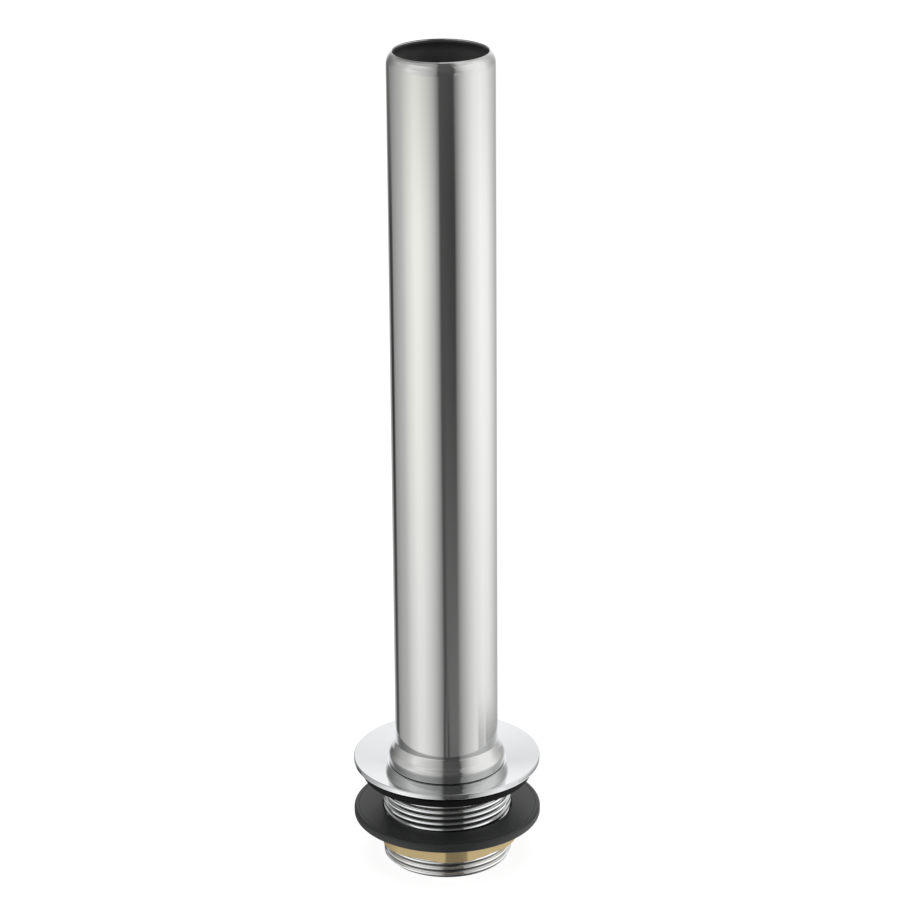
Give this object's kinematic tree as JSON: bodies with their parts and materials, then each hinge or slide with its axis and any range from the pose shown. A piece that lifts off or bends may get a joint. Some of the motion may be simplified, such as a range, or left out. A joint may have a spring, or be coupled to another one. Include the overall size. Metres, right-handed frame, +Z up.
{
  "type": "sink overflow pipe",
  "caption": "Standing overflow pipe: a steel tube with an inturned mouth stands in a plated, flanged sink waste with a threaded tail, seal, washer and nut.",
  "frame": {"origin": "centre of the tail's lower end, which is the bottom of the part", "axes": "+Z up along the tube, away from the tail; +Y away from the front"},
  "size_m": [0.0696, 0.0696, 0.308],
  "materials": {
    "stainless": "fine satin, brushed along the tube",
    "plate": "bright plated",
    "rubber": "matt",
    "brass": "machined, unpolished"
  },
  "bodies": {
    "waste": {"overflow_tube": "stainless", "foot_bung": "rubber", "waste_body": "plate", "flange_seal": "rubber"},
    "washer": {"rubber_washer": "rubber"},
    "nut": {"backnut": "brass"}
  },
  "joints": [
    {"name": "washer_slide", "type": "slide", "parent": "waste", "child": "washer", "axis": [0, 0, 1], "range_m": [-0.007, 0.0134]},
    {"name": "backnut_turn", "type": "hinge", "parent": "washer", "child": "nut", "pos_m": [0, 0, 0.012], "axis": [0, 0, 1], "range_deg": [-1090, 2088]}
  ],
  "couplings": [
    {"joint": "washer_slide", "follows": "backnut_turn", "m_per_rad": 0.00036749}
  ]
}
